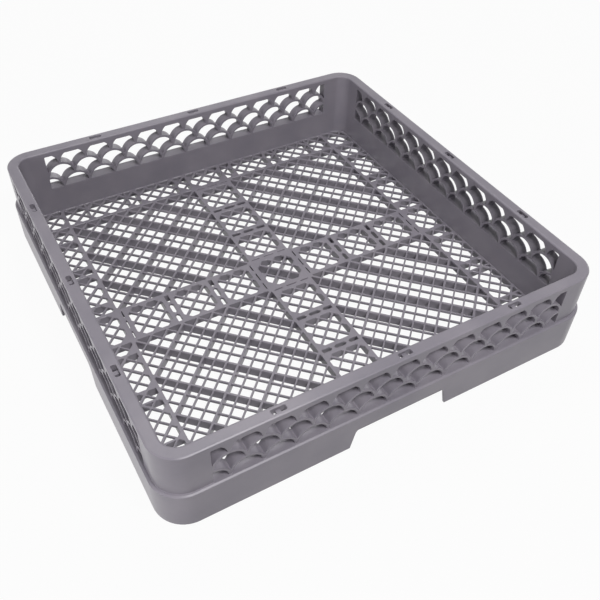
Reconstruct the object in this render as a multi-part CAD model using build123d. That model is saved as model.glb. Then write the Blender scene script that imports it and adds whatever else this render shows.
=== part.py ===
from build123d import *

import os
from math import acos, cos, degrees, radians, sin, sqrt

# Open-top dishwasher rack, one plastic moulding: double wall with a pierced fish-scale band, ribbed floor.
# Frame: X along the front, Y front to back, Z up, origin under the middle of the foot. Millimetres.

# Overall size and the two walls
width = 500.0
height = 100.0
step = 3.5
ledge_height = 46.5
wall = 2.8
inner_wall = 2.5
rim_width = 13.0
rim_thickness = 3.0
corner_radius = 29.0
rim_bevel = 1.4
ledge_bevel = 1.8

# Fish-scale band: rows of upright arches, each row half a pitch along from the one below
arch_pitch = 33.4
arch_count = 12
arch_radius = 15.5
fin = 2.4
row_rise = 17.5
row_drop = 1.0
row_count = 3
band_top = 93.0
roof_facets = 5
flank_facets = 2

# Slots in the rim top, three to a side, open below at both ends of a short bridge
slot_length = 15.0
slot_width = 5.2
slot_spread = 133.0
slot_depth = 3.2
slot_bridge = 4.6

# Hand-holds cut in the skirt, one to a side
hold_foot = 116.0
hold_head = 104.0
hold_height = 27.0
hold_radius = 7.0

# Floor: a cross of bars, a square ring of bars, and slanting ribs in the four fields between
floor_top = 11.5
floor_depth = 11.0
bar = 4.0
rib = 2.6
cross_half = 24.5
ring_half = 196.5
field_ribs = 2
pair_spacing = 11.7
edge_pitch = 69.6
edge_window = 54.0
edge_windows = 2

upper_width = width - 2 * step
inside_width = upper_width - 2 * rim_width
inside_radius = corner_radius - rim_width
band_half = arch_pitch * arch_count / 2
field_side = ring_half - cross_half - bar
field_middle = (ring_half + cross_half) / 2
rib_spacing = field_middle / field_ribs
strip_low = ring_half + bar / 2
strip_depth = inside_width / 2 - strip_low


def block(size, radius, low, high):
    """Upright block on a rounded square, from one height to another."""
    outline = RectangleRounded(size, size, radius)
    return Pos(0, 0, low) * extrude(outline, amount=high - low)


def edges_at(solid, level):
    """Edges that lie flat at one height."""
    return [edge for edge in solid.edges() if abs(edge.bounding_box().min.Z - level) < 1e-4
            and abs(edge.bounding_box().max.Z - level) < 1e-4]


def four_sides(shape):
    """A shape made for one side, repeated on all four."""
    return [Rot(0, 0, 90 * turn) * shape for turn in range(4)]


def shell():
    """Double wall: rounded rim, stepped skirt, hollow from below apart from the pierced band."""
    skirt = block(width, corner_radius + step, 0, ledge_height)
    skirt = chamfer(edges_at(skirt, ledge_height), ledge_bevel)
    body = skirt + block(upper_width, corner_radius, 0, height)
    body -= block(inside_width, inside_radius, -1, height + 1)
    body = chamfer(edges_at(body, height), rim_bevel)
    core = block(inside_width + 2 * inner_wall, inside_radius + inner_wall, -2, height)
    roof = height - rim_thickness
    upper_hollow = block(upper_width - 2 * wall, corner_radius - wall, -1, roof) - core
    lower_hollow = block(width - 2 * wall, corner_radius + step - wall, -1, ledge_height - wall) - core
    band_depth = rim_width - wall / 2 - inner_wall / 2
    band_low = ledge_height - wall
    band_size = (2 * (band_half + fin), band_depth, roof - band_low + 1)
    band = Box(*band_size, align=(Align.CENTER, Align.MAX, Align.MIN))
    band = Pos(0, upper_width / 2 - wall / 2, band_low) * band
    return body - upper_hollow - lower_hollow + four_sides(band)


def arc_points(x, z, radius, start, end, count):
    """Points along an arc in the plane of a wall, angles in degrees."""
    angles = [radians(start + (end - start) * i / count) for i in range(count + 1)]
    return [(x + radius * cos(a), z + radius * sin(a)) for a in angles]


def arch_outline(x, z):
    """One scale: a round roof over the flanks of the two arches below."""
    outer = arch_radius + fin
    half = arch_pitch / 2
    foot = degrees(acos(half / outer))
    crown = degrees(acos((half - arch_radius) / outer))
    left = arc_points(x - half, z - row_rise, outer, crown, foot, flank_facets)
    right = arc_points(x + half, z - row_rise, outer, 180 - foot, 180 - crown, flank_facets)
    roof = arc_points(x, z, arch_radius, 0, 180, roof_facets)
    return left + right[1:] + roof[1:-1]


def arches():
    """All the scales of two facing walls, as bars right through the rack."""
    window = Pos(0, (ledge_height + band_top) / 2) * Rectangle(2 * band_half, band_top - ledge_height)
    scales = []
    for row in range(row_count):
        first = -band_half + arch_pitch / 2 * (row % 2)
        for column in range(arch_count + 1 - row % 2):
            outline = arch_outline(first + arch_pitch * column, ledge_height - row_drop + row_rise * row)
            scales.append(make_face(Polyline(*outline, close=True)) & window)
    return [extrude(Plane.XZ * scale, amount=width, both=True) for scale in scales]


def rim_slots():
    """Three slots in the rim of one side, down into the pierced band beside their bridges."""
    depth = height - band_top + fin
    hang = (Align.CENTER, Align.CENTER, Align.MAX)
    bridge = Pos(0, 0, -slot_depth) * Box(slot_bridge, slot_width, depth, align=hang)
    slot = Box(slot_length, slot_width, depth, align=hang) - bridge
    middle = (upper_width - rim_width) / 2
    return [Pos(x, middle, height) * slot for x in (-slot_spread, 0, slot_spread)]


def hand_hold():
    """Tapered notch through the skirt of one side."""
    outline = Polyline((-hold_foot / 2, -1), (-hold_head / 2, hold_height), (hold_head / 2, hold_height),
                       (hold_foot / 2, -1), close=True)
    face = make_face(outline)
    face = fillet([v for v in face.vertices() if v.Y > 0], hold_radius)
    depth = width / 2 - inside_width / 2 - inner_wall
    return Pos(0, width / 2, 0) * extrude(Plane.XZ * face, amount=depth)


def slanting_ribs(each_side):
    """Ribs that slant both ways through a middle, with a number of others on each side of it."""
    ribs = []
    for slant in (45, -45):
        for line in range(-each_side, each_side + 1):
            place = line * rib_spacing / sqrt(2)
            ribs.append(Rot(0, 0, slant) * Pos(0, place) * Rectangle(2 * field_side, rib))
    return ribs


def field_gaps():
    """Openings of one field: diamonds between slanting ribs."""
    return Pos(field_middle, field_middle) * (Rectangle(field_side, field_side) - slanting_ribs(field_ribs))


def middle_gaps():
    """Openings of the square where the arms of the cross meet."""
    return Rectangle(2 * cross_half - bar, 2 * cross_half - bar) - slanting_ribs(0)


def cross_gaps():
    """Openings of one arm of the cross, between pairs of ribs."""
    places = [(pair + 0.5) * rib_spacing + side * pair_spacing / 2
              for pair in range(2 * field_ribs) for side in (-1, 1)]
    ribs = [Pos(x, 0) * Rectangle(rib, 2 * cross_half) for x in places]
    return Pos(field_middle, 0) * Rectangle(field_side, 2 * cross_half - bar) - ribs


def edge_gaps():
    """Openings of the strip between the ring and one wall: windows between ribs and the bars of the cross."""
    strip_middle = strip_low + strip_depth / 2
    places = [edge_pitch * window + side * edge_window / 2
              for window in range(1, edge_windows + 1) for side in (-1, 1)]
    ribs = [Pos(side * x, strip_middle) * Rectangle(rib, 2 * strip_depth) for x in places for side in (-1, 1)]
    bars = [Pos(side * cross_half, strip_middle) * Rectangle(bar, 2 * strip_depth) for side in (-1, 1)]
    return Pos(0, strip_middle) * Rectangle(2 * ring_half - bar, strip_depth) - ribs - bars


def corner_gap():
    """Opening in one corner, outside the ring."""
    square = RectangleRounded(inside_width, inside_width, inside_radius)
    return square & (Pos(strip_low, strip_low) * Rectangle(width, width, align=(Align.MIN, Align.MIN)))


def floor():
    """Ribbed floor, one depth all over."""
    side = inside_width + inner_wall
    sheet = RectangleRounded(side, side, inside_radius + inner_wall / 2)
    gaps = [middle_gaps()]
    for one_side in (field_gaps(), cross_gaps(), edge_gaps(), corner_gap()):
        gaps += four_sides(one_side)
    return Pos(0, 0, floor_top - floor_depth) * extrude(sheet - gaps, amount=floor_depth)


def rack():
    """The whole moulding."""
    scales = arches()
    cuts = scales + [Rot(0, 0, 90) * scale for scale in scales] + four_sides(hand_hold())
    for slot in rim_slots():
        cuts += four_sides(slot)
    return shell() - cuts + floor()


os.makedirs("parts", exist_ok=True)
part = rack()
part.label = "rack"
export_step(part, "parts/rack.step")
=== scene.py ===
import math

import bmesh
import bpy
from mathutils import Matrix, Vector


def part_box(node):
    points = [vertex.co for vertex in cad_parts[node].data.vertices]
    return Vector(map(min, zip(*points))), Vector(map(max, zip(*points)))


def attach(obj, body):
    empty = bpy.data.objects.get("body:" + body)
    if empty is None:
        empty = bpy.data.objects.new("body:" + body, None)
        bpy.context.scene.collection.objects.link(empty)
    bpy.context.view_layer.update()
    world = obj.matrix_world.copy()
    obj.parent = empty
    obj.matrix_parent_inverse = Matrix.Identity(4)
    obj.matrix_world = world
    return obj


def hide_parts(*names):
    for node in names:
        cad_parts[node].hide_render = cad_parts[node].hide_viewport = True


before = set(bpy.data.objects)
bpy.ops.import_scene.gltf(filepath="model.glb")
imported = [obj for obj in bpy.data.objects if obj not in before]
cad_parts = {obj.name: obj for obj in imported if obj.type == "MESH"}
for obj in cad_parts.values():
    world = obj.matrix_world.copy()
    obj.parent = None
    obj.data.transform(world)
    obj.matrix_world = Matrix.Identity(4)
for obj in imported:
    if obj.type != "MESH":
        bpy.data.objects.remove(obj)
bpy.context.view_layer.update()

mm = 0.001  # all sizes below are millimetres, meshes are made in metres
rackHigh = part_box("rack")[1]
footHalf = rackHigh.x / mm
rackHeight = rackHigh.z / mm
overcut = 2.0  # cutters stand out this far past the faces that they cut
bite = 1.0     # pieces reach this far into what they join
print("frame loaded: rack", round(2 * footHalf), "mm square,", round(rackHeight), "mm high")


# small mesh tools

def makeObject(name, parts):
    verts = []
    faces = []
    for partVerts, partFaces in parts:
        base = len(verts)
        verts += [Vector(v) * mm for v in partVerts]
        faces += [[base + i for i in face] for face in partFaces]
    mesh = bpy.data.meshes.new(name)
    mesh.from_pydata(verts, [], faces)
    work = bmesh.new()
    work.from_mesh(mesh)
    bmesh.ops.recalc_face_normals(work, faces=work.faces)
    work.to_mesh(mesh)
    work.free()
    obj = bpy.data.objects.new(name, mesh)
    bpy.context.scene.collection.objects.link(obj)
    return obj


def combine(target, tool, how):
    step = target.modifiers.new("combine", "BOOLEAN")
    step.operation = how
    step.solver = "MANIFOLD"
    step.object = tool
    bpy.context.view_layer.objects.active = target
    bpy.ops.object.modifier_apply(modifier=step.name)
    bpy.data.objects.remove(tool)


def loft(levels, closed=False):
    count = len(levels[0])
    verts = [p for level in levels for p in level]
    faces = []
    last = len(levels) if closed else len(levels) - 1
    for a in range(last):
        b = (a + 1) % len(levels)
        for i in range(count):
            j = (i + 1) % count
            faces.append([a * count + i, a * count + j, b * count + j, b * count + i])
    if not closed:
        faces.append(list(range(count))[::-1])
        faces.append([len(verts) - count + i for i in range(count)])
    return verts, faces


def boxPart(low, high):
    base = rectangle(low[0], high[0], low[1], high[1])
    return loft([[(x, y, z) for x, y in base] for z in (low[2], high[2])])


def subdivide(outline, longest):
    # short edges keep every face of the walls small enough for clean cuts
    points = []
    for i, point in enumerate(outline):
        before = outline[i - 1]
        pieces = math.ceil(math.dist(before, point) / longest)
        for k in range(1, pieces + 1):
            points.append(tuple(b + (p - b) * k / pieces for b, p in zip(before, point)))
    return points


def spinPoint(point, turn):
    c, s = ((1, 0), (0, 1), (-1, 0), (0, -1))[turn]
    return c * point[0] - s * point[1], s * point[0] + c * point[1]


def turnPart(part, turn):
    spin = Matrix.Rotation(math.radians(90 * turn), 3, "Z")
    return [spin @ Vector(v) for v in part[0]], part[1]


def fourSides(parts):
    return [turnPart(part, turn) for turn in range(4) for part in parts]


# outlines in a plane, counterclockwise lists of (across, up)

def arcPoints(centre, radius, start, end, count):
    angles = [math.radians(start + (end - start) * i / count) for i in range(count + 1)]
    return [(centre[0] + radius * math.cos(a), centre[1] + radius * math.sin(a)) for a in angles]


def roundCorners(corners, steps, flattest=88):
    # corners are (across, up, radius); each becomes an arc, apart from nearly straight ones
    outline = []
    for i, (x, y, radius) in enumerate(corners):
        here = Vector((x, y))
        toBefore = (Vector(corners[i - 1][:2]) - here).normalized()
        toAfter = (Vector(corners[(i + 1) % len(corners)][:2]) - here).normalized()
        half = toBefore.angle(toAfter) / 2
        if radius <= 0 or half > math.radians(flattest):
            outline.append((x, y))
            continue
        centre = here + (toBefore + toAfter).normalized() * (radius / math.sin(half))
        start = here + toBefore * (radius / math.tan(half)) - centre
        swing = start.angle_signed(here + toAfter * (radius / math.tan(half)) - centre)
        for s in range(steps + 1):
            spoke = Matrix.Rotation(-swing * s / steps, 2) @ start
            outline.append(tuple(centre + spoke))
    return outline


def softenCorners(outline, radius, steps, bluntest=150, edgeShare=0.45):
    # rounds only the corners that are sharper than an angle, within a share of their edges
    corners = []
    for i, point in enumerate(outline):
        here = Vector(point)
        before = Vector(outline[i - 1]) - here
        after = Vector(outline[(i + 1) % len(outline)]) - here
        angle = before.angle(after)
        reach = edgeShare * min(before.length, after.length) * math.tan(angle / 2)
        corners.append((*point, min(radius, reach) if angle < math.radians(bluntest) else 0))
    return roundCorners(corners, steps)


def growOutline(outline, amount, longest=1.6):
    # moves an outline outwards, its sharp corners at most this many times as far
    grown = []
    for i, point in enumerate(outline):
        here = Vector(point)
        into = (here - Vector(outline[i - 1])).normalized()
        out = (Vector(outline[(i + 1) % len(outline)]) - here).normalized()
        normal = Vector((into.y + out.y, -into.x - out.x)).normalized()
        stretch = 1 / max(normal.dot(Vector((into.y, -into.x))), 1 / longest)
        grown.append(tuple(here + normal * amount * stretch))
    return grown


def clipHalf(outline, normal, limit):
    # keeps the part of an outline where normal . point <= limit
    kept = []
    for i, point in enumerate(outline):
        before = outline[i - 1]
        sideBefore = normal[0] * before[0] + normal[1] * before[1] - limit
        side = normal[0] * point[0] + normal[1] * point[1] - limit
        if (sideBefore <= 0) != (side <= 0):
            t = sideBefore / (sideBefore - side)
            kept.append((before[0] + t * (point[0] - before[0]), before[1] + t * (point[1] - before[1])))
        if side <= 0:
            kept.append(point)
    return kept


def clipTo(outline, region, shortest=0.05):
    # region is a convex counterclockwise outline; very short edges are dropped
    for i, corner in enumerate(region):
        before = region[i - 1]
        normal = (corner[1] - before[1], before[0] - corner[0])
        outline = clipHalf(outline, normal, normal[0] * corner[0] + normal[1] * corner[1])
        if len(outline) < 3:
            return []
    tidy = [p for i, p in enumerate(outline) if math.dist(p, outline[i - 1]) > shortest]
    return tidy if len(tidy) > 2 else []


def areaOf(outline):
    return sum(outline[i - 1][0] * p[1] - p[0] * outline[i - 1][1] for i, p in enumerate(outline)) / 2


def rectangle(x0, x1, y0, y1):
    return [(x0, y0), (x1, y0), (x1, y1), (x0, y1)]


def mouthSteps(radius, count):
    # (depth below the face, extra width) of a rounded mouth, from outside the face inwards
    angles = [math.pi / 2 * i / count for i in range(count + 1)]
    steps = [(radius * (1 - math.cos(a)), radius * (1 - math.sin(a))) for a in angles]
    return [(-overcut, radius)] + steps


# walls: one swept section, rim on top, stepped skirt, hollow from below

wallShape = {
    "step": 3.5,             # how far the skirt stands out
    "ledgeHeight": 46.5,
    "wall": 2.8,
    "innerWall": 2.5,
    "rimWidth": 13.0,
    "rimThickness": 3.0,
    "cornerRadius": 29.0,
    "rimRun": 1.5,           # bevel round the outside of the rim
    "rimDrop": 0.9,
    "rimSoft": 0.5,          # rounding of that bevel's edges
    "rimRound": 2.2,         # round along its inside
    "ledgeRun": 2.0,         # bevel of the ledge
    "ledgeDrop": 1.2,
    "ledgeRound": 0.8,
    "ledgeCove": 0.4,        # where the ledge meets the wall above it
    "footRound": 0.8,
    "inside": 0.9,           # rounding of the hidden hollow
    "cornerSteps": 14,
    "roundSteps": 4,
    "faceHeight": 12.0,      # walls are made of faces no larger than this
}
upperHalf = footHalf - wallShape["step"]
insideHalf = upperHalf - wallShape["rimWidth"]
cornerCentre = upperHalf - wallShape["cornerRadius"]
rimMiddle = (upperHalf + insideHalf) / 2
ledgeHeight = wallShape["ledgeHeight"]


def wallSection():
    w = wallShape
    roof = rackHeight - w["rimThickness"]
    shelf = ledgeHeight - w["wall"]
    corners = [
        (footHalf, 0, w["footRound"]),
        (footHalf, ledgeHeight - w["ledgeDrop"], w["ledgeRound"]),
        (footHalf - w["ledgeRun"], ledgeHeight, w["ledgeCove"]),
        (upperHalf, ledgeHeight, w["ledgeCove"]),
        (upperHalf, rackHeight - w["rimDrop"], w["rimSoft"]),
        (upperHalf - w["rimRun"], rackHeight, w["rimSoft"]),
        (insideHalf, rackHeight, w["rimRound"]),
        (insideHalf, 0, w["footRound"]),
        (insideHalf + w["innerWall"], 0, w["footRound"]),
        (insideHalf + w["innerWall"], roof, w["inside"]),
        (upperHalf - w["wall"], roof, w["inside"]),
        (upperHalf - w["wall"], shelf, w["inside"]),
        (footHalf - w["wall"], shelf, w["inside"]),
        (footHalf - w["wall"], 0, w["footRound"]),
    ]
    return subdivide(roundCorners(corners, w["roundSteps"]), w["faceHeight"])


def squareLoop(half, z):
    # corner arcs, and points along the straight sides at every half pitch of the scales
    places = [scaleBand["pitch"] / 2 * k for k in range(-scaleBand["count"], scaleBand["count"] + 1)]
    side = arcPoints((cornerCentre, -cornerCentre), half - cornerCentre, -90, 0, wallShape["cornerSteps"])
    side += [(half, place) for place in places]
    loop = []
    for turn in range(4):
        loop += [spinPoint(point, turn) for point in side]
    return [(x, y, z) for x, y in loop]


def makeWalls():
    loops = [squareLoop(half, z) for half, z in wallSection()]
    return makeObject("rack_moulding", [loft(loops, closed=True)])


# fish-scale band: three rows of arches through all four walls

scaleBand = {
    "pitch": 33.4,
    "count": 12,
    "radius": 15.3,
    "fin": 2.8,
    "rowRise": 17.5,
    "rowDrop": 1.0,          # the lowest arches are centred this far below the ledge
    "rows": 3,
    "top": 93.0,
    "roofSteps": 16,
    "flankSteps": 6,
    "cornerRound": 0.9,
    "cornerSteps": 2,
    "mouthRound": 0.55,
    "mouthSteps": 2,
    "clearOfLedge": 0.02,    # keeps the scales' foot off the plane of the ledge
    "belowShelf": 0.1,       # the filled band starts this far under the ledge's shelf
}
bandHalf = scaleBand["pitch"] * scaleBand["count"] / 2


def scaleOutline(x, z):
    b = scaleBand
    outer = b["radius"] + b["fin"]
    half = b["pitch"] / 2
    foot = math.degrees(math.acos(half / outer))
    crown = math.degrees(math.acos((half - b["radius"]) / outer))
    left = arcPoints((x - half, z - b["rowRise"]), outer, crown, foot, b["flankSteps"])
    right = arcPoints((x + half, z - b["rowRise"]), outer, 180 - foot, 180 - crown, b["flankSteps"])
    roof = arcPoints((x, z), b["radius"], 0, 180, b["roofSteps"])
    return left + right[1:] + roof[1:-1]


def scaleCutters():
    b = scaleBand
    floorOfBand = ledgeHeight + b["clearOfLedge"]
    window = rectangle(-bandHalf, bandHalf, floorOfBand, b["top"])
    steps = mouthSteps(b["mouthRound"], b["mouthSteps"])
    cutters = []
    for row in range(b["rows"]):
        first = -bandHalf + b["pitch"] / 2 * (row % 2)
        z = ledgeHeight - b["rowDrop"] + b["rowRise"] * row
        for column in range(b["count"] + 1 - row % 2):
            outline = clipTo(scaleOutline(first + b["pitch"] * column, z), window)
            outline = softenCorners(outline, b["cornerRound"], b["cornerSteps"])
            levels = []
            for depth, extra in steps:
                mouth = [(x, max(up, floorOfBand)) for x, up in growOutline(outline, extra)]
                levels.append([(x, -upperHalf + depth, up) for x, up in mouth])
            for depth, extra in reversed(steps):
                levels.append([(x, -insideHalf - depth, up) for x, up in growOutline(outline, extra)])
            cutters.append(loft(levels))
    return cutters


def bandBlock():
    # fins run through the whole wall, so the hollow is filled behind the band
    w = wallShape
    end = bandHalf + scaleBand["fin"]
    low = ledgeHeight - w["wall"] - scaleBand["belowShelf"]
    high = rackHeight - w["rimThickness"] + bite
    return boxPart((-end, -upperHalf + w["wall"] / 2, low), (end, -insideHalf - w["innerWall"] / 2, high))


# slots in the rim, with a small bridge half way down each

rimSlot = {
    "length": 15.0,
    "width": 5.2,
    "spread": 133.0,
    "corner": 1.6,
    "cornerSteps": 3,
    "mouthRound": 0.5,
    "mouthSteps": 3,
    "intoBand": 2.0,         # slots end this far below the top of the scales
    "bridge": 4.6,
    "bridgeDepth": 3.2,
    "bridgeLift": 0.3,       # bridges start this far above the top of the scales
}
slotPlaces = (-rimSlot["spread"], 0, rimSlot["spread"])


def slotCutters():
    s = rimSlot
    depthOfSlot = rackHeight - scaleBand["top"] + s["intoBand"]
    sides = rectangle(-s["length"] / 2, s["length"] / 2, -s["width"] / 2, s["width"] / 2)
    cutters = []
    for place in slotPlaces:
        corners = [(x + place, y - rimMiddle, s["corner"]) for x, y in sides]
        outline = roundCorners(corners, s["cornerSteps"])
        levels = []
        for depth, extra in mouthSteps(s["mouthRound"], s["mouthSteps"]) + [(depthOfSlot, 0)]:
            levels.append([(x, y, rackHeight - depth) for x, y in growOutline(outline, extra)])
        cutters.append(loft(levels))
    return cutters


def slotBridges():
    s = rimSlot
    half = s["bridge"] / 2
    reach = s["width"] / 2 + bite
    low = scaleBand["top"] + s["bridgeLift"]
    high = rackHeight - s["bridgeDepth"]
    return [boxPart((place - half, -rimMiddle - reach, low), (place + half, -rimMiddle + reach, high))
            for place in slotPlaces]


# hand-holds: tapered notches in the skirt

handHold = {
    "foot": 116.0,
    "head": 104.0,
    "height": 27.0,
    "corner": 7.0,
    "cornerSteps": 8,
    "below": 4.0,            # the cutter starts this far under the foot
    "mouthRound": 0.8,
    "mouthSteps": 3,
}


def holdCutter():
    h = handHold
    flare = (h["foot"] - h["head"]) / 2 / h["height"] * h["below"]
    corners = [(-h["foot"] / 2 - flare, -h["below"], 0), (h["foot"] / 2 + flare, -h["below"], 0),
               (h["head"] / 2, h["height"], h["corner"]), (-h["head"] / 2, h["height"], h["corner"])]
    outline = roundCorners(corners, h["cornerSteps"])
    levels = []
    for depth, extra in mouthSteps(h["mouthRound"], h["mouthSteps"]) + [(wallShape["wall"] + overcut, 0)]:
        levels.append([(x, -footHalf + depth, z) for x, z in growOutline(outline, extra)])
    return loft(levels)


# floor: a fine slanting mesh between bars, over deep ribs

floorMesh = {
    "top": 11.5,
    "sheet": 2.8,            # depth of the fine mesh
    "low": 0.5,              # underside of the deep ribs
    "bar": 4.0,
    "crossHalf": 24.5,
    "ringHalf": 196.5,
    "cells": 12,             # fine cells from the middle of the rack to the middle of a field
    "deepEvery": 3,          # every third line is a deep rib
    "fineBar": 1.9,
    "deepBar": 2.6,
    "pairs": 4,              # pairs of ribs across an arm of the cross
    "pairSpacing": 11.7,
    "slitMargin": 2.2,       # openings between the two ribs of a pair are narrower
    "edgeWindows": 2,        # windows along the walls, each way from the cross
    "edgePitch": 69.6,
    "edgeWindow": 54.0,
    "edgeMargin": 1.6,
    "smallest": 10.0,        # smaller openings are left closed, square millimetres
    "cornerSteps": 6,
    "mouthRound": 0.4,
    "mouthSteps": 1,
    "ribInset": 0.4,         # deep ribs are this much thinner than the bars over them
    "ribDrop": 0.2,          # and end this far under the mouths of the mesh
    "shortestRib": 4.0,
    "sheetCells": 24,        # faces from the middle of the sheet to its edge
    "sheetInset": 0.1,       # the sheet ends this far inside the middle of the inner wall
}
fieldMiddle = (floorMesh["crossHalf"] + floorMesh["ringHalf"]) / 2
finePitch = 2 * fieldMiddle / floorMesh["cells"]
deepPitch = finePitch * floorMesh["deepEvery"]


def pairPlaces():
    # the two ribs of each pair across an arm of the cross
    f = floorMesh
    places = []
    for k in range(f["pairs"]):
        for side in (-1, 1):
            place = (k + 0.5) * deepPitch + side * f["pairSpacing"] / 2
            if f["crossHalf"] + f["bar"] < place < f["ringHalf"] - f["bar"]:
                places.append(place)
    return places


def edgePlaces():
    f = floorMesh
    return [f["edgePitch"] * k + side * f["edgeWindow"] / 2
            for k in range(1, f["edgeWindows"] + 1) for side in (-1, 1)]


def spansBetween(start, end, places, width, shortest=1):
    edges = [place + side * width / 2 for place in sorted(places) for side in (-1, 1)]
    cuts = [start] + edges + [end]
    return [(a, b) for a, b in zip(cuts[::2], cuts[1::2]) if b - a > shortest]


def floorRegions():
    # clear openings between the bars, each filled with fine mesh
    f = floorMesh
    arm = f["crossHalf"] - f["bar"] / 2
    start = f["crossHalf"] + f["bar"] / 2
    end = f["ringHalf"] - f["bar"] / 2
    wallLine = insideHalf - f["edgeMargin"]
    strip = f["ringHalf"] + f["bar"] / 2
    regions = [rectangle(-arm, arm, -arm, arm)]
    cornerRound = insideHalf - cornerCentre - f["edgeMargin"]
    corner = roundCorners([(strip, strip, 0), (wallLine, strip, 0), (wallLine, wallLine, cornerRound),
                           (strip, wallLine, 0)], f["cornerSteps"])
    sideRegions = [rectangle(start, end, start, end), corner]
    for a, b in spansBetween(start, end, pairPlaces(), f["deepBar"]):
        narrow = f["slitMargin"] if b - a < f["pairSpacing"] else 0
        sideRegions.append(rectangle(a + narrow, b - narrow, -arm, arm))
    sideRegions.append(rectangle(strip, wallLine, -arm, arm))
    for a, b in spansBetween(start, end, edgePlaces(), f["deepBar"]):
        sideRegions.append(rectangle(strip, wallLine, a, b))
        sideRegions.append(rectangle(strip, wallLine, -b, -a))
    for region in sideRegions:
        for turn in range(4):
            regions.append([spinPoint(point, turn) for point in region])
    return regions


def barInset(line):
    deep = line % floorMesh["deepEvery"] == 0
    return floorMesh["deepBar" if deep else "fineBar"] / math.sqrt(2)


def cellOutline(i, j):
    # one diamond of the mesh, between lines of x + y and x - y
    u0, u1 = i * finePitch + barInset(i), (i + 1) * finePitch - barInset(i + 1)
    v0, v1 = j * finePitch + barInset(j), (j + 1) * finePitch - barInset(j + 1)
    return [((u + v) / 2, (u - v) / 2) for u, v in ((u0, v0), (u0, v1), (u1, v1), (u1, v0))]


def meshCutters():
    f = floorMesh
    steps = mouthSteps(f["mouthRound"], f["mouthSteps"]) + [(f["sheet"] + overcut, 0)]
    cutters = []
    for region in floorRegions():
        us = [x + y for x, y in region]
        vs = [x - y for x, y in region]
        for i in range(math.floor(min(us) / finePitch), math.ceil(max(us) / finePitch)):
            for j in range(math.floor(min(vs) / finePitch), math.ceil(max(vs) / finePitch)):
                cell = cellOutline(i, j)
                if areaOf(cell) < 0:
                    cell.reverse()
                cell = clipTo(cell, region)
                if not cell or areaOf(cell) < f["smallest"]:
                    continue
                levels = []
                for depth, extra in steps:
                    levels.append([(x, y, f["top"] - depth) for x, y in growOutline(cell, extra)])
                cutters.append(loft(levels))
    return cutters


def ribBetween(start, end, width):
    f = floorMesh
    a, b = Vector(start), Vector(end)
    along = (b - a).normalized()
    side = Vector((-along.y, along.x)) * width / 2
    base = [a - side, b - side, b + side, a + side]
    top = f["top"] - f["mouthRound"] - f["ribDrop"]
    return loft([[(p.x, p.y, z) for p in base] for z in (f["low"], top)])


def slantRibs(direction):
    # deep ribs of the four fields and an X in the middle window, all leaning one way
    f = floorMesh
    width = f["deepBar"] - f["ribInset"]
    arm = f["crossHalf"] - f["bar"] / 2 + bite
    low = f["crossHalf"] + f["bar"] / 2 - bite
    high = f["ringHalf"] - f["bar"] / 2 + bite
    ribs = [ribBetween((-arm, direction * arm), (arm, -direction * arm), width)]
    for sx in (-1, 1):
        for sy in (-1, 1):
            x0, x1 = sorted((sx * low, sx * high))
            y0, y1 = sorted((sy * low, sy * high))
            if direction < 0:
                y0, y1 = -y1, -y0
            for k in range(math.ceil((x0 + y0) / deepPitch), math.floor((x1 + y1) / deepPitch) + 1):
                u = k * deepPitch
                start, end = max(x0, u - y1), min(x1, u - y0)
                if end - start > f["shortestRib"]:
                    ends = [(x, direction * (u - x)) for x in (start, end)]
                    ribs.append(ribBetween(*ends, width))
    return ribs


def straightRibs():
    # bars and ribs that run along X
    f = floorMesh
    wide = f["bar"] - 2 * f["ribInset"]
    thin = f["deepBar"] - f["ribInset"]
    reach = insideHalf + wallShape["innerWall"] / 2
    ribs = [ribBetween((-reach, y), (reach, y), wide)
            for y in (-f["ringHalf"], -f["crossHalf"], f["crossHalf"], f["ringHalf"])]
    for sign in (-1, 1):
        for y in pairPlaces():
            ribs.append(ribBetween((-f["crossHalf"], sign * y), (f["crossHalf"], sign * y), thin))
        for y in edgePlaces():
            for side in (-1, 1):
                ribs.append(ribBetween((side * f["ringHalf"], sign * y), (side * reach, sign * y), thin))
    return ribs


def gridPart(lines, low, high):
    # a square slab whose top and underside are a grid of small faces
    count = len(lines)
    verts = [(x, y, z) for z in (low, high) for y in lines for x in lines]
    faces = []
    for layer in range(2):
        for j in range(count - 1):
            for i in range(count - 1):
                a = layer * count * count + j * count + i
                faces.append([a, a + 1, a + count + 1, a + count])
    above = count * count
    for k in range(count - 1):
        for a, b in ((k, k + 1), (above - count + k, above - count + k + 1),
                     (k * count, (k + 1) * count), (k * count + count - 1, (k + 2) * count - 1)):
            faces.append([a, b, b + above, a + above])
    return verts, faces


def makeFloor():
    f = floorMesh
    half = insideHalf + wallShape["innerWall"] / 2
    lines = [half * k / f["sheetCells"] for k in range(-f["sheetCells"], f["sheetCells"] + 1)]
    sheet = makeObject("floor_sheet", [gridPart(lines, f["top"] - f["sheet"], f["top"])])
    levels = (f["top"] - f["sheet"] - overcut, f["top"] + overcut)
    outside = [squareLoop(half - f["sheetInset"], z) for z in levels]
    combine(sheet, makeObject("floor_outside", [loft(outside)]), "INTERSECT")
    cutters = meshCutters()
    combine(sheet, makeObject("floor_cells", cutters), "DIFFERENCE")
    combine(sheet, makeObject("ribs_down", slantRibs(1)), "UNION")
    combine(sheet, makeObject("ribs_up", slantRibs(-1)), "UNION")
    combine(sheet, makeObject("ribs_x", straightRibs()), "UNION")
    combine(sheet, makeObject("ribs_y", [turnPart(rib, 1) for rib in straightRibs()]), "UNION")
    print("floor:", len(cutters), "openings")
    return sheet


# the moulding

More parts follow.
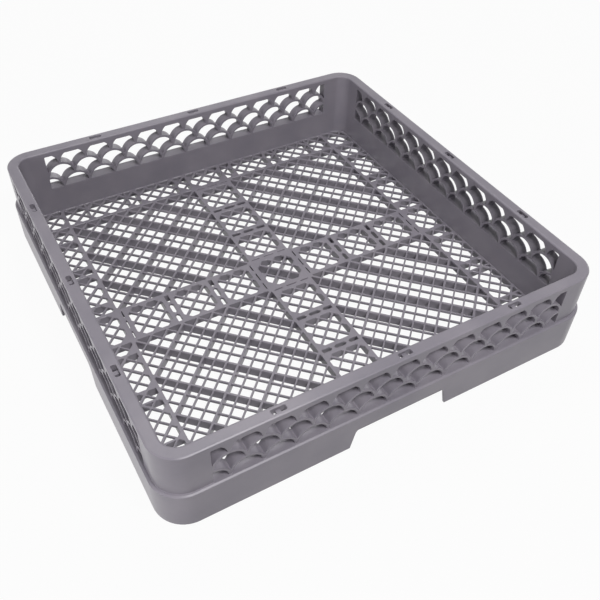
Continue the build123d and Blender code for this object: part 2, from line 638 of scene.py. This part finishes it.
def makeRack():
    rack = makeWalls()
    combine(rack, makeObject("band_blocks", fourSides([bandBlock()])), "UNION")
    scales = scaleCutters()
    combine(rack, makeObject("scales", fourSides(scales)), "DIFFERENCE")
    combine(rack, makeObject("slots", fourSides(slotCutters())), "DIFFERENCE")
    combine(rack, makeObject("holds", fourSides([holdCutter()])), "DIFFERENCE")
    combine(rack, makeObject("bridges", fourSides(slotBridges())), "UNION")
    print("walls:", 4 * len(scales), "scales")
    combine(rack, makeFloor(), "UNION")
    return rack


def finishMesh(obj, sharpAngle=38, merge=0.002, thinnest=0.001):
    # welds what the cuts leave closer than a few thousandths of a millimetre
    mesh = obj.data
    work = bmesh.new()
    work.from_mesh(mesh)
    bmesh.ops.remove_doubles(work, verts=work.verts, dist=merge * mm)
    bmesh.ops.dissolve_degenerate(work, edges=work.edges, dist=thinnest * mm)
    openEdges = sum(1 for edge in work.edges if not edge.is_manifold)
    work.to_mesh(mesh)
    work.free()
    mesh.shade_smooth()
    mesh.set_sharp_from_angle(angle=math.radians(sharpAngle))
    weigh = obj.modifiers.new("weigh", "WEIGHTED_NORMAL")
    weigh.keep_sharp = True
    weigh.weight = 100
    mesh.calc_loop_triangles()
    print("mesh:", len(mesh.loop_triangles), "triangles,", openEdges, "open edges")


# finish: satin grey moulded plastic

plastic = {
    "deep": (0.220, 0.204, 0.238),
    "colour": (0.240, 0.222, 0.256),
    "pale": (0.262, 0.242, 0.276),
    "deepAt": 0.32,          # places on the cloudy noise
    "colourAt": 0.5,
    "paleAt": 0.68,
    "mottle": 22.0,          # cloudy colour, per metre
    "mottleDetail": 5,
    "smoothest": 0.28,
    "roughest": 0.33,
    "specular": 0.26,
    "grain": 1600.0,         # moulded grain, per metre
    "grainDetail": 2,
    "grainStrength": 0.35,
    "grainDepth": 0.00002,
}


def plasticMaterial():
    p = plastic
    material = bpy.data.materials.new("grey_plastic")
    material.use_nodes = True
    nodes, links = material.node_tree.nodes, material.node_tree.links
    shader = nodes["Principled BSDF"]
    shader.inputs["Specular IOR Level"].default_value = p["specular"]
    place = nodes.new("ShaderNodeTexCoord")

    cloud = nodes.new("ShaderNodeTexNoise")
    cloud.inputs["Scale"].default_value = p["mottle"]
    cloud.inputs["Detail"].default_value = p["mottleDetail"]
    links.new(place.outputs["Object"], cloud.inputs["Vector"])
    tint = nodes.new("ShaderNodeValToRGB")
    tint.color_ramp.elements[0].position = p["deepAt"]
    tint.color_ramp.elements[0].color = (*p["deep"], 1)
    tint.color_ramp.elements[1].position = p["paleAt"]
    tint.color_ramp.elements[1].color = (*p["pale"], 1)
    tint.color_ramp.elements.new(p["colourAt"]).color = (*p["colour"], 1)
    links.new(cloud.outputs["Fac"], tint.inputs["Fac"])
    links.new(tint.outputs["Color"], shader.inputs["Base Color"])

    gloss = nodes.new("ShaderNodeMapRange")
    gloss.inputs["To Min"].default_value = p["smoothest"]
    gloss.inputs["To Max"].default_value = p["roughest"]
    links.new(cloud.outputs["Fac"], gloss.inputs["Value"])
    links.new(gloss.outputs["Result"], shader.inputs["Roughness"])

    grain = nodes.new("ShaderNodeTexNoise")
    grain.inputs["Scale"].default_value = p["grain"]
    grain.inputs["Detail"].default_value = p["grainDetail"]
    links.new(place.outputs["Object"], grain.inputs["Vector"])
    bump = nodes.new("ShaderNodeBump")
    bump.inputs["Strength"].default_value = p["grainStrength"]
    bump.inputs["Distance"].default_value = p["grainDepth"]
    links.new(grain.outputs["Fac"], bump.inputs["Height"])
    links.new(bump.outputs["Normal"], shader.inputs["Normal"])
    return material


# stage: white floor, soft light, camera

studio = {
    "floorSize": 12.0,
    "floorColour": (0.45, 0.45, 0.45),
    "floorRoughness": 0.9,
    "floorWhite": 0.95,      # share of plain white that the camera sees in the floor
    "sky": 0.02,             # soft light from all round
    "aim": (0, 0, 0.05),
    "lamps": [
        # name, place, size, watts
        ("key_front", (-0.3, -1.1, 1.6), 0.5, 13),
        ("high_front", (0.3, -1.2, 1.9), 0.5, 20),
        ("side_left", (-1.7, -0.3, 0.4), 0.8, 13.5),
        ("back_top", (0.3, 0.83, 1.75), 0.8, 8.5),
        ("back_low", (0.4, 1.7, 0.4), 0.9, 4),
        ("side_right", (1.7, 0.4, 0.4), 0.9, 4),
    ],
}


def mathNode(nodes, links, operation, first, second):
    node = nodes.new("ShaderNodeMath")
    node.operation = operation
    for socket, value in zip(node.inputs, (first, second)):
        if isinstance(value, float):
            socket.default_value = value
        else:
            links.new(value, socket)
    return node.outputs[0]


def seenByCamera(nodes, links):
    # 1 for what the camera sees straight, mirrored or through something, 0 for light on surfaces
    path = nodes.new("ShaderNodeLightPath").outputs
    either = mathNode(nodes, links, "MAXIMUM", path["Is Camera Ray"], path["Is Glossy Ray"])
    return mathNode(nodes, links, "MAXIMUM", either, path["Is Transmission Ray"])


def mixShaders(nodes, links, factor, first, second, output):
    mix = nodes.new("ShaderNodeMixShader")
    links.new(factor, mix.inputs["Fac"])
    links.new(first.outputs[0], mix.inputs[1])
    links.new(second.outputs[0], mix.inputs[2])
    links.new(mix.outputs["Shader"], output.inputs["Surface"])


def makeGround():
    s = studio
    half = s["floorSize"] / 2 / mm
    corners = [(x, y, 0) for x, y in rectangle(-half, half, -half, half)]
    floor = makeObject("floor", [(corners, [[0, 1, 2, 3]])])
    material = bpy.data.materials.new("studio_floor")
    material.use_nodes = True
    nodes, links = material.node_tree.nodes, material.node_tree.links
    shader = nodes["Principled BSDF"]
    shader.inputs["Base Color"].default_value = (*s["floorColour"], 1)
    shader.inputs["Roughness"].default_value = s["floorRoughness"]
    white = nodes.new("ShaderNodeEmission")
    share = mathNode(nodes, links, "MULTIPLY", seenByCamera(nodes, links), s["floorWhite"])
    mixShaders(nodes, links, share, shader, white, nodes["Material Output"])
    floor.data.materials.append(material)


def makeSky():
    world = bpy.data.worlds.new("studio")
    bpy.context.scene.world = world
    world.use_nodes = True
    nodes, links = world.node_tree.nodes, world.node_tree.links
    sky = nodes["Background"]
    backdrop = nodes.new("ShaderNodeBackground")
    for shade in (sky, backdrop):
        shade.inputs["Color"].default_value = (1, 1, 1, 1)
    sky.inputs["Strength"].default_value = studio["sky"]
    mixShaders(nodes, links, seenByCamera(nodes, links), sky, backdrop, nodes["World Output"])


def makeLamps():
    for name, place, size, watts in studio["lamps"]:
        light = bpy.data.lights.new(name, "AREA")
        light.shape = "DISK"
        light.size = size
        light.energy = watts
        lamp = bpy.data.objects.new(name, light)
        lamp.location = place
        aim = Vector(studio["aim"]) - Vector(place)
        lamp.rotation_euler = aim.to_track_quat("-Z", "Y").to_euler()
        bpy.context.scene.collection.objects.link(lamp)


photoView = {
    "azimuth": -31.375,
    "elevation": 44.836,
    "roll": 2.192,
    "distance": 0.78843,
    "target": (-0.02482, -0.09064, 0.050),
    "lens": 43.717,
    "sensor": 36.0,
}


def makeCamera():
    v = photoView
    a, e, roll = (math.radians(v[key]) for key in ("azimuth", "elevation", "roll"))
    back = Vector((math.sin(a) * math.cos(e), -math.cos(a) * math.cos(e), math.sin(e)))
    right = Vector((math.cos(a), math.sin(a), 0))
    up = back.cross(right)
    turnedRight = right * math.cos(roll) + up * math.sin(roll)
    turnedUp = up * math.cos(roll) - right * math.sin(roll)
    data = bpy.data.cameras.new("camera")
    data.lens = v["lens"]
    data.sensor_width = v["sensor"]
    camera = bpy.data.objects.new("camera", data)
    place = Vector(v["target"]) + back * v["distance"]
    axes = Matrix((turnedRight, turnedUp, back)).transposed()
    camera.matrix_world = Matrix.Translation(place) @ axes.to_4x4()
    bpy.context.scene.collection.objects.link(camera)
    bpy.context.scene.camera = camera


rack = makeRack()
finishMesh(rack)
rack.data.materials.clear()
rack.data.materials.append(plasticMaterial())
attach(rack, "root")
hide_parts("rack")

makeGround()
makeSky()
makeLamps()
makeCamera()
bpy.context.scene.view_settings.view_transform = "Standard"
print("stage and camera ready")
